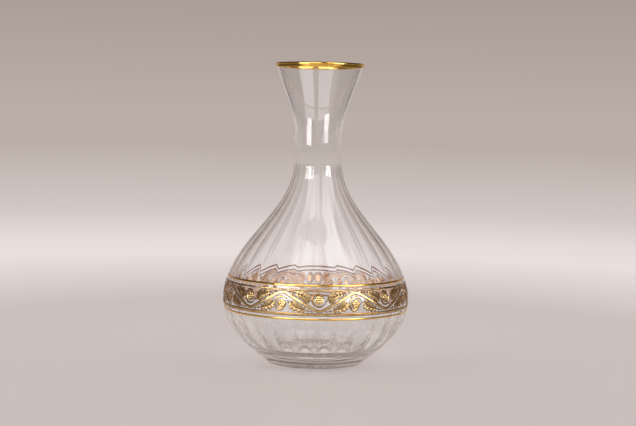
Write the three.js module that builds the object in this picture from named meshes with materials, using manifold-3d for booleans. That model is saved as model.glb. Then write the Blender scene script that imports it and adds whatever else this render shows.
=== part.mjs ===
// A glass carafe: a round belly, a slim neck and a flaring mouth, blown in one piece. The inside of
// the wall is moulded into upright flutes. Raised gilding is fired onto the lip and round the belly,
// as plain lines, two borders and a frieze of running scrolls.
// Millimetres, +Z up, the origin in the middle of the foot. The frieze starts near -Y and runs
// towards +X.

import * as THREE from "three";
import { mergeVertices } from "three/addons/utils/BufferGeometryUtils.js";
import Module from "manifold-3d";

const wasm = await Module();
wasm.setup();

const { degToRad, lerp, smoothstep } = THREE.MathUtils;

// Outer wall of the glass. A reach is the length of a curve's handle, so a longer one is fuller.
const CARAFE_HEIGHT = 250;
const FOOT_RADIUS = 41;
const FOOT_SLOPE = degToRad(49);
const FOOT_REACH = 13.6;
const BELLY_RADIUS = 77.4;
const BELLY_HEIGHT = 52.1;
const BELLY_REACH_DOWN = 28.5;
const BELLY_REACH_UP = 47.8;
const NECK_RADIUS = 20.2;
const NECK_HEIGHT = 166.8;
const NECK_REACH_DOWN = 42.7;
const NECK_REACH_UP = 49.3;
const MOUTH_RADIUS = 37;
const MOUTH_FLARE = degToRad(19.5);
const MOUTH_REACH = 40.6;

// Thickness of the glass, and the shallow hollow inside the foot's flat ring
const WALL = 2;
const FLOOR_HEIGHT = 11;
const FLOOR_DISH = 5;
const FLOOR_FLATNESS = 38;
const FLOOR_CORNER_REACH = 8;
const FOOT_RING = 10;
const PUNT_DEPTH = 2.2;

// Flutes moulded into the inside of the wall, with a ridge between each two
const FLUTES = 26;
const RIDGE_DEPTH = 0.5;
const RIDGE_DEPTH_LOW = 1.8;
const FLUTE_FOOT_FADE = 8;
const FLUTES_ABOVE_NECK = 48;
const FLUTE_TOP_FADE = 60;

// Gilding: its place over and under the belly's widest height, and the clear strips by its lines
const GILT_GAP = 0.15;
const GILT_THICKNESS = 0.3;
const LIP_GILT_OUTSIDE = 2.3;
const LIP_GILT_INSIDE = 2.5;
const LOWER_LINE_DROP = 6.4;
const UPPER_LINE_RISE = 20.3;
const LINE_WIDTH = 1.5;
const LOWER_STRIP = 1.9;
const LOWER_BORDER_WIDTH = 2.6;
const UPPER_STRIP = 2.2;
const UPPER_BORDER_WIDTH = 1.2;

// Frieze: high and low scrolls take turns, and the vine runs under the high ones
const SCROLL_PAIRS = 8;
const FRIEZE_TURN = degToRad(2.3);
const FRIEZE_CLEARANCE = 0.35;
const VINE_WIDTH = 2.6;
const TIP_WIDTH = 0.3;
const SCROLL_GAP = 1.2;
const TENDRIL_WIDTH = 1.8;
const TENDRIL_START = degToRad(-12);
const TENDRIL_SWEEP = degToRad(300);
const TENDRIL_TAPER = 0.33;
const TENDRIL_TURN_IN = 0.75;
const TENDRIL_SINK = 1.2;
const TENDRIL_LIFT = 0.05;
const ROSETTE_MARGIN = 0.75;
const ROSETTE_RISE = 0.5;
const ROSETTE_PETALS = 6;
const PETAL_NOTCH = 0.35;
const LEAF_WIDTH = 7.2;
const LEAF_LOBES = 3;
const LEAF_LOBE_DEPTH = 0.38;
const LEAF_SKEW = 1.6;

// A leaf's line: how far to the next scroll, and how high between the vine and the border there
const LEAF_ROOT = { along: 0.84, rise: 0.5 };
const LEAF_BACK = { along: 0.62, rise: 0.5 };
const LEAF_CROOK = { along: 0.32, rise: 0.75 };
const LEAF_TIP = { along: 0.25, rise: 0.12 };

// How finely the round shapes are drawn. A straight millimetre counts as a bend of so many radians.
const FINE_STEPS = 400;
const BEND_PER_MM = 0.003;
const STEPS_PER_FLUTE = 3;
const ROUND_STEPS = FLUTES * STEPS_PER_FLUTE;
const PUNT_STEPS = 2;
const UNDER_BELLY_STEPS = 6;
const BAND_STEPS = 4;
const SHOULDER_STEPS = 6;
const THROAT_STEPS = 5;
const INNER_BELLY_STEPS = 4;
const FLOOR_STEPS = 3;
const LIP_STEPS = 3;
const VINE_ROUND_STEPS = 4;
const VINE_STRAIGHT_STEPS = 4;
const TENDRIL_STEPS = 8;
const STEPS_PER_LOBE = 3;

// Heights that follow from the sizes

const lipRise = (WALL / 2) * (1 + Math.sin(MOUTH_FLARE));
const mouthHeight = CARAFE_HEIGHT - GILT_GAP - GILT_THICKNESS - lipRise;
const fluteFoot = FLOOR_HEIGHT + FLOOR_DISH;
const fluteTop = NECK_HEIGHT + FLUTES_ABOVE_NECK;
const lowerLine = BELLY_HEIGHT - LOWER_LINE_DROP;
const upperLine = BELLY_HEIGHT + UPPER_LINE_RISE;
const lowerBorder = lowerLine + (LINE_WIDTH + LOWER_BORDER_WIDTH) / 2 + LOWER_STRIP;
const upperBorder = upperLine - (LINE_WIDTH + UPPER_BORDER_WIDTH) / 2 - UPPER_STRIP;

// Outer wall, as curves of radius (x) and height (y) from the foot up

const footEdge = new THREE.Vector2(FOOT_RADIUS, 0);
const footLead = new THREE.Vector2(Math.cos(FOOT_SLOPE), Math.sin(FOOT_SLOPE));
const mouthEdge = new THREE.Vector2(MOUTH_RADIUS, mouthHeight);
const mouthLead = new THREE.Vector2(Math.sin(MOUTH_FLARE), Math.cos(MOUTH_FLARE));
const underBelly = new THREE.CubicBezierCurve(
  footEdge,
  footEdge.clone().addScaledVector(footLead, FOOT_REACH),
  new THREE.Vector2(BELLY_RADIUS, BELLY_HEIGHT - BELLY_REACH_DOWN),
  new THREE.Vector2(BELLY_RADIUS, BELLY_HEIGHT),
);
const shoulder = new THREE.CubicBezierCurve(
  new THREE.Vector2(BELLY_RADIUS, BELLY_HEIGHT),
  new THREE.Vector2(BELLY_RADIUS, BELLY_HEIGHT + BELLY_REACH_UP),
  new THREE.Vector2(NECK_RADIUS, NECK_HEIGHT - NECK_REACH_DOWN),
  new THREE.Vector2(NECK_RADIUS, NECK_HEIGHT),
);
const throat = new THREE.CubicBezierCurve(
  new THREE.Vector2(NECK_RADIUS, NECK_HEIGHT),
  new THREE.Vector2(NECK_RADIUS, NECK_HEIGHT + NECK_REACH_UP),
  mouthEdge.clone().addScaledVector(mouthLead, -MOUTH_REACH),
  mouthEdge,
);

// The share of a curve's run at which it reaches a height.
function shareAt(curve, height) {
  let low = 0;
  let high = 1;
  const closeEnough = 1e-7;
  while (high - low > closeEnough) {
    const middle = (low + high) / 2;
    if (curve.getPoint(middle).y < height) low = middle;
    else high = middle;
  }
  return low;
}

function wallCurveAt(height) {
  if (height <= BELLY_HEIGHT) return underBelly;
  return height <= NECK_HEIGHT ? shoulder : throat;
}

// The point beside the outer wall at a height: so far outside the glass, or inside if negative.
function besideWall(height, lift) {
  const curve = wallCurveAt(height);
  const share = shareAt(curve, height);
  const tangent = curve.getTangent(share);
  return curve.getPoint(share).addScaledVector(new THREE.Vector2(tangent.y, -tangent.x), lift);
}

// Evenly spaced values, both ends included.
function spaced(from, to, steps) {
  return Array.from({ length: steps + 1 }, (_, i) => lerp(from, to, i / steps));
}

// Heights between two others, both ends included, so spaced that the wall bends alike at each.
function heightsOn(curve, from, to, steps) {
  const shares = spaced(shareAt(curve, from), shareAt(curve, to), FINE_STEPS);
  let bend = 0;
  const bends = shares.map((share, i) => {
    const before = shares[Math.max(i - 1, 0)];
    bend += curve.getTangent(before).angleTo(curve.getTangent(share));
    bend += BEND_PER_MM * curve.getPoint(before).distanceTo(curve.getPoint(share));
    return bend;
  });
  return spaced(0, bend, steps).map((goal) => {
    const share = shares[bends.findIndex((sofar) => sofar >= goal)];
    return curve.getPoint(share).y;
  });
}

// The round of the lip at a distance outside the glass, from the outer side over the top.
function lipRound(lift) {
  const middle = besideWall(mouthHeight, -WALL / 2);
  return spaced(-MOUTH_FLARE, Math.PI - MOUTH_FLARE, LIP_STEPS).map((direction) =>
    new THREE.Vector2(Math.cos(direction), Math.sin(direction))
      .multiplyScalar(WALL / 2 + lift)
      .add(middle),
  );
}

// Turns a profile round the carafe's axis, with +Z up. It runs from axis to axis, or closes.
function turned(profile) {
  return new THREE.LatheGeometry(profile, ROUND_STEPS).rotateX(Math.PI / 2);
}

// Vessel

// 1 on a ridge between two flutes and 0 in the middle of a flute, for an angle about the axis.
function ridgeShare(angle) {
  const turn = (angle / (2 * Math.PI)) * FLUTES;
  const fromRidge = Math.abs(turn - Math.round(turn));
  return (1 - 2 * fromRidge) ** 2;
}

// How far a ridge stands in from the inner wall. It deepens below the belly's widest height, and
// fades out at the foot and in the mouth.
function ridgeDepth(radius, height) {
  const full = lerp(RIDGE_DEPTH_LOW, RIDGE_DEPTH, smoothstep(height, fluteFoot, BELLY_HEIGHT));
  const atFoot = smoothstep(height, fluteFoot, fluteFoot + FLUTE_FOOT_FADE);
  const belowTop = 1 - smoothstep(height, fluteTop - FLUTE_TOP_FADE, fluteTop);
  return full * (radius / BELLY_RADIUS) * atFoot * belowTop;
}

function vesselGeometry() {
  const puntRadius = FOOT_RADIUS - FOOT_RING;
  const punt = spaced(0, 1, PUNT_STEPS).map(
    (share) => new THREE.Vector2(puntRadius * share, PUNT_DEPTH * (1 - share ** 2)),
  );
  const outside = [
    ...heightsOn(underBelly, 0, lowerLine - LINE_WIDTH, UNDER_BELLY_STEPS),
    ...spaced(lowerLine, upperLine, BAND_STEPS),
    ...heightsOn(shoulder, upperLine + LINE_WIDTH, NECK_HEIGHT, SHOULDER_STEPS),
    ...heightsOn(throat, NECK_HEIGHT, mouthHeight, THROAT_STEPS).slice(1, -1),
  ].map((height) => besideWall(height, 0));
  const lip = lipRound(0);
  const inside = [
    ...heightsOn(throat, mouthHeight, NECK_HEIGHT, THROAT_STEPS).slice(1),
    ...heightsOn(shoulder, NECK_HEIGHT, BELLY_HEIGHT, SHOULDER_STEPS).slice(1),
    ...heightsOn(underBelly, BELLY_HEIGHT, fluteFoot, INNER_BELLY_STEPS).slice(1),
  ].map((height) => besideWall(height, -WALL));

  // The floor leaves the wall along its slope and ends level on the axis
  const floorEdge = inside.at(-1);
  const wallSlope = underBelly.getTangent(shareAt(underBelly, fluteFoot));
  const floorCurve = new THREE.CubicBezierCurve(
    floorEdge,
    floorEdge.clone().addScaledVector(wallSlope, -FLOOR_CORNER_REACH),
    new THREE.Vector2(FLOOR_FLATNESS, FLOOR_HEIGHT),
    new THREE.Vector2(0, FLOOR_HEIGHT),
  );
  const floor = floorCurve.getPoints(FLOOR_STEPS).slice(1);
  const profile = [...punt, ...outside, ...lip, ...inside, ...floor];
  const geometry = turned(profile);

  const place = geometry.getAttribute("position");
  const firstInside = punt.length + outside.length + lip.length;
  const lastInside = firstInside + inside.length;
  for (let i = 0; i < place.count; i++) {
    const ring = i % profile.length;
    if (ring < firstInside || ring >= lastInside) continue;
    const vertex = new THREE.Vector3().fromBufferAttribute(place, i);
    const radius = Math.hypot(vertex.x, vertex.y);
    const share = ridgeShare(Math.atan2(vertex.y, vertex.x));
    const shrink = 1 - (share * ridgeDepth(radius, vertex.z)) / radius;
    place.setXY(i, vertex.x * shrink, vertex.y * shrink);
  }
  return geometry;
}

// Gilding on the lip: over the top of the glass, and a little way down both sides

function lipGildingGeometry() {
  const face = GILT_GAP + GILT_THICKNESS;
  const outsideEnd = mouthHeight - LIP_GILT_OUTSIDE;
  const insideEnd = mouthHeight - LIP_GILT_INSIDE;
  return turned([
    besideWall(outsideEnd, face),
    ...lipRound(face),
    besideWall(insideEnd, -WALL - face),
    besideWall(insideEnd, -WALL - GILT_GAP),
    ...lipRound(GILT_GAP).reverse(),
    besideWall(outsideEnd, GILT_GAP),
    besideWall(outsideEnd, face),
  ]);
}

// A gilt line round the carafe, raised along its middle.
function gildedLineGeometry(height, width) {
  const below = besideWall(height - width / 2, GILT_GAP);
  const crown = besideWall(height, GILT_GAP + GILT_THICKNESS);
  const above = besideWall(height + width / 2, GILT_GAP);
  return turned([below, crown, above, below]);
}

// Frieze. It is drawn flat: x runs along the belly in millimetres, and y is up from the middle of
// the field between the two borders. A scroll and the vine beside it fill the field's height.

const fieldFoot = lowerBorder + LOWER_BORDER_WIDTH / 2;
const fieldTop = upperBorder - UPPER_BORDER_WIDTH / 2;
const fieldMiddle = (fieldFoot + fieldTop) / 2;
const fieldHalf = (fieldTop - fieldFoot) / 2;
const girth = 2 * Math.PI * BELLY_RADIUS;
const scrollCount = 2 * SCROLL_PAIRS;
const scrollPitch = girth / scrollCount;
const scrollOffset = (VINE_WIDTH + SCROLL_GAP) / 2;
const vineRadius = fieldHalf - FRIEZE_CLEARANCE - VINE_WIDTH / 2 + scrollOffset;
const tendrilRadius = vineRadius - (VINE_WIDTH + TENDRIL_WIDTH) / 2 - SCROLL_GAP;
const rosetteRadius = tendrilRadius - TENDRIL_WIDTH / 2 - ROSETTE_MARGIN;

// The vine runs straight between its rounds, through the point midway between two scrolls
const toNextScroll = new THREE.Vector2(scrollPitch, -2 * scrollOffset);
const nextBearing = Math.atan2(toNextScroll.y, toNextScroll.x);
const leaveBearing = nextBearing - Math.acos((2 * vineRadius) / toNextScroll.length());
const vineClimb = leaveBearing + Math.PI / 2;

// Puts a point of the drawing on the glass, lifted by so much.
function onBelly(x, y, lift) {
  const place = besideWall(fieldMiddle + y, lift);
  const angle = FRIEZE_TURN + x / BELLY_RADIUS;
  return new THREE.Vector3(place.x * Math.sin(angle), -place.x * Math.cos(angle), place.y);
}

// Moves a point drawn for a high scroll at x = 0 to scroll number k: every other one is turned over.
function forScroll(k, x, y) {
  return new THREE.Vector2(k * scrollPitch + x, k % 2 === 0 ? y : -y);
}

// A geometry from shared vertices and triangles of their numbers.
function meshOf(vertices, triangles) {
  const numbers = vertices.flatMap((vertex) => vertex.toArray());
  const geometry = new THREE.BufferGeometry();
  geometry.setAttribute("position", new THREE.Float32BufferAttribute(numbers, 3));
  geometry.setIndex(triangles);
  return geometry;
}

// A raised band of gold along a line of the drawing, as wide as widthAt says for a share of its
// length. A closed one goes once round the carafe.
function ribbonGeometry(line, widthAt, { closed = false, lift = GILT_GAP } = {}) {
  const last = line.length - 1;
  const vertices = line.flatMap((here, i) => {
    const before = closed ? line.at(i - 1) : line[Math.max(i - 1, 0)];
    const after = closed ? line[(i + 1) % line.length] : line[Math.min(i + 1, last)];
    const run = after.clone().sub(before);
    if (run.x < -girth / 2) run.x += girth;
    const toLeft = new THREE.Vector2(-run.y, run.x).setLength(widthAt(i / last) / 2);
    return [
      onBelly(here.x + toLeft.x, here.y + toLeft.y, lift),
      onBelly(here.x, here.y, lift + GILT_THICKNESS),
      onBelly(here.x - toLeft.x, here.y - toLeft.y, lift),
    ];
  });
  const triangles = [];
  const steps = closed ? line.length : last;
  for (let i = 0; i < steps; i++) {
    const [left, crown, right] = [3 * i, 3 * i + 1, 3 * i + 2];
    const next = 3 * ((i + 1) % line.length);
    const [nextLeft, nextCrown, nextRight] = [next, next + 1, next + 2];
    triangles.push(left, crown, nextLeft, crown, nextCrown, nextLeft);
    triangles.push(crown, right, nextCrown, right, nextRight, nextCrown);
    triangles.push(right, left, nextRight, left, nextLeft, nextRight);
  }
  if (!closed) {
    triangles.push(0, 2, 1);
    triangles.push(3 * last, 3 * last + 1, 3 * last + 2);
  }
  return meshOf(vertices, triangles);
}

// The vine: a round under each high scroll, one over each low scroll, and straight between them.
function vineGeometry() {
  const down = -Math.PI / 2;
  const round = spaced(down - vineClimb, down + vineClimb, VINE_ROUND_STEPS).map(
    (bearing) =>
      new THREE.Vector2(vineRadius * Math.cos(bearing), scrollOffset + vineRadius * Math.sin(bearing)),
  );
  const leaves = round.at(-1);
  const arrives = new THREE.Vector2(scrollPitch + round[0].x, -round[0].y);
  const straight = spaced(0, 1, VINE_STRAIGHT_STEPS)
    .slice(1, -1)
    .map((share) => leaves.clone().lerp(arrives, share));
  const line = [];
  for (let k = 0; k < scrollCount; k++) {
    line.push(...[...round, ...straight].map((point) => forScroll(k, point.x, point.y)));
  }
  return ribbonGeometry(line, () => VINE_WIDTH, { closed: true });
}

// A rosette: a low dome with notched petals, in the middle of a scroll.
function rosetteGeometry(k) {
  const middle = forScroll(k, 0, scrollOffset);
  const points = 2 * ROSETTE_PETALS;
  const edge = spaced(0, 2 * Math.PI, points)
    .slice(1)
    .map((bearing, i) => {
      const radius = rosetteRadius - (i % 2) * PETAL_NOTCH;
      const x = middle.x + radius * Math.cos(bearing);
      const y = middle.y + radius * Math.sin(bearing);
      return onBelly(x, y, GILT_GAP);
    });
  const under = onBelly(middle.x, middle.y, GILT_GAP);
  const crown = onBelly(middle.x, middle.y, GILT_GAP + ROSETTE_RISE);
  const triangles = [];
  for (let i = 0; i < points; i++) {
    const next = (i + 1) % points;
    triangles.push(points + 1, i, next);
    triangles.push(points, next, i);
  }
  return meshOf([...edge, under, crown], triangles);
}

// A tendril: it winds round a rosette, then turns in and ends in it.
function tendrilGeometry(k) {
  const line = spaced(0, 1, TENDRIL_STEPS).map((share) => {
    const bearing = TENDRIL_START - share * TENDRIL_SWEEP;
    const inward = smoothstep(share, TENDRIL_TURN_IN, 1);
    const radius = lerp(tendrilRadius, rosetteRadius - TENDRIL_SINK, inward);
    return forScroll(k, radius * Math.cos(bearing), scrollOffset + radius * Math.sin(bearing));
  });
  const widthAt = (share) => lerp(TIP_WIDTH, TENDRIL_WIDTH, Math.min(1, share / TENDRIL_TAPER));
  return ribbonGeometry(line, widthAt, { lift: GILT_GAP + TENDRIL_LIFT });
}

function solidOf(geometry) {
  const merged = mergeVertices(geometry);
  const vertProperties = new Float32Array(merged.getAttribute("position").array);
  const triVerts = new Uint32Array(merged.index.array);
  return new wasm.Manifold(new wasm.Mesh({ numProp: 3, vertProperties, triVerts }));
}

// A scroll: a rosette and its tendril, joined.
function scrollGeometry(k) {
  const mesh = solidOf(rosetteGeometry(k)).add(solidOf(tendrilGeometry(k))).getMesh();
  const geometry = new THREE.BufferGeometry();
  geometry.setAttribute("position", new THREE.BufferAttribute(mesh.vertProperties, 3));
  geometry.setIndex(new THREE.BufferAttribute(mesh.triVerts, 1));
  return geometry;
}

// A lobed leaf that curls between the vine and a border. The one behind scroll k lies on the
// scroll's own side of the vine, and the one before the next scroll on the other side.
function leafGeometry(k, beforeNext) {
  const besideVine = (VINE_WIDTH / 2 + FRIEZE_CLEARANCE) / Math.cos(vineClimb);
  const [root, back, crook, tip] = [LEAF_ROOT, LEAF_BACK, LEAF_CROOK, LEAF_TIP].map((spot) => {
    const x = spot.along * scrollPitch;
    const lowest = (x - scrollPitch / 2) * Math.tan(vineClimb) + besideVine;
    const highest = fieldHalf - FRIEZE_CLEARANCE;
    return new THREE.Vector2(x, lerp(lowest, highest, spot.rise));
  });
  const curve = new THREE.CubicBezierCurve(root, back, crook, tip);
  const line = curve
    .getPoints(STEPS_PER_LOBE * LEAF_LOBES)
    .map(({ x, y }) => (beforeNext ? forScroll(k, scrollPitch - x, -y) : forScroll(k, x, y)));
  const widthAt = (share) => {
    const body = Math.sin(Math.PI * share ** LEAF_SKEW);
    const lobe = 1 - LEAF_LOBE_DEPTH * ((share * LEAF_LOBES) % 1);
    return lerp(TIP_WIDTH, LEAF_WIDTH, body * lobe);
  };
  return ribbonGeometry(line, widthAt);
}

// Assembly

const carafe = new THREE.Group();
carafe.name = "carafe";

const glassLook = { color: 0xdde2df, roughness: 0.04, metalness: 0, transparent: true, opacity: 0.35 };
const brightGoldLook = { color: 0xc79a3a, roughness: 0.18, metalness: 1 };
const friezeGoldLook = { color: 0xbb9350, roughness: 0.3, metalness: 1 };

function addPiece(name, geometry, look) {
  const piece = new THREE.Mesh(geometry, new THREE.MeshStandardMaterial(look));
  piece.name = name;
  carafe.add(piece);
}

addPiece("vessel", vesselGeometry(), glassLook);
addPiece("lip_gilding", lipGildingGeometry(), brightGoldLook);
addPiece("lower_line", gildedLineGeometry(lowerLine, LINE_WIDTH), brightGoldLook);
addPiece("upper_line", gildedLineGeometry(upperLine, LINE_WIDTH), brightGoldLook);
addPiece("lower_border", gildedLineGeometry(lowerBorder, LOWER_BORDER_WIDTH), friezeGoldLook);
addPiece("upper_border", gildedLineGeometry(upperBorder, UPPER_BORDER_WIDTH), friezeGoldLook);
addPiece("vine", vineGeometry(), friezeGoldLook);
for (let k = 0; k < scrollCount; k++) {
  const scroll = `${k % 2 === 0 ? "high" : "low"}_scroll_${Math.floor(k / 2) + 1}`;
  addPiece(scroll, scrollGeometry(k), friezeGoldLook);
  addPiece(`leaf_behind_${scroll}`, leafGeometry(k, false), friezeGoldLook);
  addPiece(`leaf_after_${scroll}`, leafGeometry(k, true), friezeGoldLook);
}

export default carafe;
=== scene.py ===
"""A glass carafe with a gilded lip and a gilt frieze of running scrolls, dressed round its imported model.

Metres, +Z up. The carafe stands on z = 0, and the photographed side faces -Y.
The glass is one smooth blown wall with upright flutes moulded into its inside. The gilding lies on
the outside in low relief. Its drawing is flat: x runs along the belly, y up from the frieze's middle.
"""

import math

import bpy
import numpy as np
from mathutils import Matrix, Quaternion, Vector


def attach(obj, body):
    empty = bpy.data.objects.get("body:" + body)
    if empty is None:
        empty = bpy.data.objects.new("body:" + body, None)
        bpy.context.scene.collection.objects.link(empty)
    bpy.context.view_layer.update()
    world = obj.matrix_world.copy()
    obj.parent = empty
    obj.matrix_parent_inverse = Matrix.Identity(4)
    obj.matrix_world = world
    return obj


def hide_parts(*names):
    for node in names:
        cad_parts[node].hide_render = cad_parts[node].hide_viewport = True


MM = 0.001

# Outer wall of the glass. A reach is the length of a curve's handle, so a longer one is fuller.
CARAFE_HEIGHT = 250 * MM
FOOT_RADIUS = 41 * MM
FOOT_SLOPE = math.radians(49)
FOOT_REACH = 13.6 * MM
BELLY_RADIUS = 77.4 * MM
BELLY_HEIGHT = 52.1 * MM
BELLY_REACH_DOWN = 28.5 * MM
BELLY_REACH_UP = 47.8 * MM
NECK_RADIUS = 20.2 * MM
NECK_HEIGHT = 166.8 * MM
NECK_REACH_DOWN = 42.7 * MM
NECK_REACH_UP = 49.3 * MM
MOUTH_RADIUS = 37 * MM
MOUTH_FLARE = math.radians(19.5)
MOUTH_REACH = 40.6 * MM

# Thickness of the glass, and the shallow hollow inside the foot's flat ring
WALL = 2 * MM
FLOOR_HEIGHT = 11 * MM
FLOOR_DISH = 5 * MM
FLOOR_FLATNESS = 38 * MM
FLOOR_CORNER_REACH = 8 * MM
FOOT_RING = 10 * MM
PUNT_DEPTH = 2.2 * MM

# Flutes moulded into the inside of the wall, with a ridge between each two
FLUTES = 26
RIDGE_DEPTH = 0.5 * MM
RIDGE_DEPTH_LOW = 1.8 * MM
FLUTE_FOOT_FADE = 8 * MM
FLUTES_ABOVE_NECK = 48 * MM
FLUTE_TOP_FADE = 60 * MM

# Gilding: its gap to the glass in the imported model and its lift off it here, its places over and under
# the belly's widest height, and the clear strips beside its lines
CAD_GILT_GAP = 0.15 * MM
GILT_THICKNESS = 0.3 * MM
GILT_LIFT = 0.03 * MM
LIP_GILT_OUTSIDE = 2.3 * MM
LIP_GILT_INSIDE = 2.5 * MM
LOWER_LINE_DROP = 6.4 * MM
UPPER_LINE_RISE = 20.3 * MM
LINE_WIDTH = 1.5 * MM
LOWER_STRIP = 1.9 * MM
LOWER_BORDER_WIDTH = 2.6 * MM
UPPER_STRIP = 2.2 * MM
UPPER_BORDER_WIDTH = 1.2 * MM

# Frieze
SCROLL_PAIRS = 8
FRIEZE_TURN = math.radians(2.3)
FRIEZE_CLEARANCE = 0.35 * MM
VINE_WIDTH = 2.6 * MM
TIP_WIDTH = 0.3 * MM
SCROLL_GAP = 1.2 * MM
TENDRIL_WIDTH = 1.8 * MM
TENDRIL_START = math.radians(-12)
TENDRIL_SWEEP = math.radians(300)
TENDRIL_TAPER = 0.33
TENDRIL_TURN_IN = 0.75
TENDRIL_SINK = 1.2 * MM
ROSETTE_MARGIN = 0.75 * MM
ROSETTE_RISE = 0.5 * MM
ROSETTE_PETALS = 6
LEAF_WIDTH = 7.2 * MM
LEAF_SKEW = 1.6
BERRY_RADIUS = 0.75 * MM
BERRY_RISE = 1.4 * GILT_THICKNESS

# A leaf's line: how far to the next scroll, and how high between the vine and the border there
LEAF_ROOT = (0.84, 0.5)
LEAF_BACK = (0.62, 0.5)
LEAF_CROOK = (0.32, 0.75)
LEAF_TIP = (0.25, 0.12)

# A leaf's lobes and midrib. A lobe widens with its length, up to LOBE_WIDTH. The first one's place is
# in lobes, and each reaches as far out as the leaf's edge does a few steps further on. A skew moves the
# widest place towards the end, and a lower roundness makes a fuller form.
LOBES_A_SIDE = 8
FIRST_LOBE = 0.35
LOBE_STEPS_AHEAD = 4
LOBE_WIDTH = 2.6 * MM
LOBE_LEAST_WIDTH = 0.4 * MM
LOBE_WIDENING = 0.55
LOBE_SPREAD_ROOT = math.radians(50)
LOBE_SPREAD_TIP = math.radians(34)
LOBE_SKEW = 1.3
LOBE_ROUNDNESS = 0.6
LOBE_VEIN = 0.55
MIDRIB_WIDTH = 0.7 * MM
MIDRIB_TAPER = 0.6
MIDRIB_RISE = 1.5 * GILT_THICKNESS

# A band's crown, and the grooves in it: ribs across it and a vein along its middle. Depths are shares
# of the band's rise, the vein's reach is a share of half its width, and slants are in ribs.
CROWN_FALL = 2.4
CROWN_ROUNDNESS = 0.6
RIB_PITCH = 1.3 * MM
RIB_DEPTH = 0.6
BORDER_SLANT = 0.5
VINE_SLANT = 0.8
VINE_VEIN = 0.4
VEIN_REACH = 0.16

# A rosette's relief: heights as shares of its rise, places and reaches as shares of its radius. A
# higher fall keeps the surface level for longer before it drops at the edge.
PETAL_HEIGHT = 0.75
PETAL_PLACE = 0.52
PETAL_REACH = 0.2
PETAL_ROUNDNESS = 0.7
RIM_HEIGHT = 0.8
RIM_PLACE = 0.9
RIM_REACH = 0.07
BUTTON_HEIGHT = 0.9
BUTTON_REACH = 0.2
GROUND_HEIGHT = 0.25
GROUND_FALL = 8
ROSETTE_FALL = 16

# How finely the surfaces are drawn
STEPS_PER_FLUTE = 12
ROUND_STEPS = FLUTES * STEPS_PER_FLUTE
WALL_SAMPLES = 3000
SLOPE_STEP = 0.1 * MM
OUTER_RINGS = 110
INNER_RINGS = 118
FLOOR_RINGS = 26
PUNT_RINGS = 14
LIP_RINGS = 14
LIP_STEPS_OUTSIDE = 5
LIP_STEPS_INSIDE = 4
BORDER_STEPS = 2000
VINE_ROUND_STEPS = 32
VINE_STRAIGHT_STEPS = 100
TENDRIL_STEPS = 72
LEAF_STEPS = 60
LOBE_STEPS = 12
BAND_STRIPS = 6
BROAD_BAND_STRIPS = 8
MIDRIB_STRIPS = 4
ROSETTE_RINGS = 22
ROSETTE_SPOKES = 72
BERRY_RINGS = 5
BERRY_SPOKES = 16
SHARP_ANGLE = math.radians(50)
STAGE_RINGS = 40
STAGE_SPOKES = 96
STAGE_CROWDING = 2.5

# Glass. It darkens through its depth by the density, per metre, towards its depth colour. Its shadow
# is the share of the lamps' light that each of its surfaces lets through.
GLASS_IOR = 1.5
GLASS_SPECULAR = 0.9
GLASS_SHADOW = (0.99, 0.99, 0.99, 1)
GLASS_DEPTH_COLOUR = (0.62, 0.6, 0.57, 1)
GLASS_DENSITY = 4.5

# Gold: bright on the lip and the lines, and more matt in the frieze. Colours are display values up to
# 255, a gloss is the roughness at its least and most, and a grain is the strength of the bumps. A cloud
# span is the values of the noise at which the colour is deepest and palest.
BRIGHT_GOLD = (250, 206, 112)
BRIGHT_GOLD_DEEP = (238, 184, 84)
BRIGHT_GLOSS = (0.08, 0.16)
BRIGHT_GRAIN = 0.08
FRIEZE_GOLD = (240, 210, 152)
FRIEZE_GOLD_DEEP = (198, 154, 98)
FRIEZE_GOLD_EDGES = (100, 60, 32)
FRIEZE_GLOSS = (0.16, 0.3)
FRIEZE_GRAIN = 0.35
GOLD_CLOUDS = 260
GOLD_CLOUD_SPAN = (0.3, 0.65)
GRAIN_SCALE = 1500
GRAIN_DEPTH = 0.05 * MM
UNDERSIDE_DEEP = (232, 168, 108)
UNDERSIDE_PALE = (255, 222, 178)
UNDERSIDE_EDGES = (122, 52, 14)
UNDERSIDE_ROUGHNESS = 0.6
UNDERSIDE_CLOUDS = 500
UNDERSIDE_CLOUD_SPAN = (0.35, 0.65)
CLOUD_DETAIL = 3

# Outlines: the distances from an edge, in millimetres, at which one begins and is full
FRIEZE_OUTLINE = (0.6, 0.2)
UNDERSIDE_OUTLINE = (0.9, 0.6)

# Floor: its colours at distances from the carafe, in metres, with painted light: paler right under the
# foot, a painted pool of light in a wide ring, and painted shade further out. The middle of the colour
# ramp, which takes in any distance, stands for HALFWAY_REACH.
FLOOR_REACH = 15.0
HALFWAY_REACH = 1.5
FLOOR_TONES_AND_PAINTED_LIGHT = [
    # Painted light right under the foot, where the glass shades the floor
    (0.033, (252, 243, 238)),
    (0.042, (205, 194, 190)),
    (0.42, (205, 194, 190)),
    # A painted pool of light in a wide ring, and painted shade further out
    (0.92, (237, 227, 225)),
    (1.2, (233, 223, 221)),
    (1.9, (213, 202, 198)),
    (9.0, (189, 176, 170)),
]
FLOOR_SHEEN = 0.06
FLOOR_SHEEN_ROUGHNESS = 0.2

# The sheet of paper under the carafe, in metres, as the glass and the gold see it. It widens to the
# back. Past it the floor has painted shade, as of an unlit room, which only the glass and the gold see
# and which ends between two distances from the carafe.
PAPER_HALF_WIDTH = 0.27
PAPER_EDGE = 0.08
PAPER_WIDENING = 0.26
DARK_REACH_NEAR = 0.8
DARK_REACH_FAR = 2.4
SIDE_DARK = (0.12, 0.105, 0.095, 1)

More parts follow.
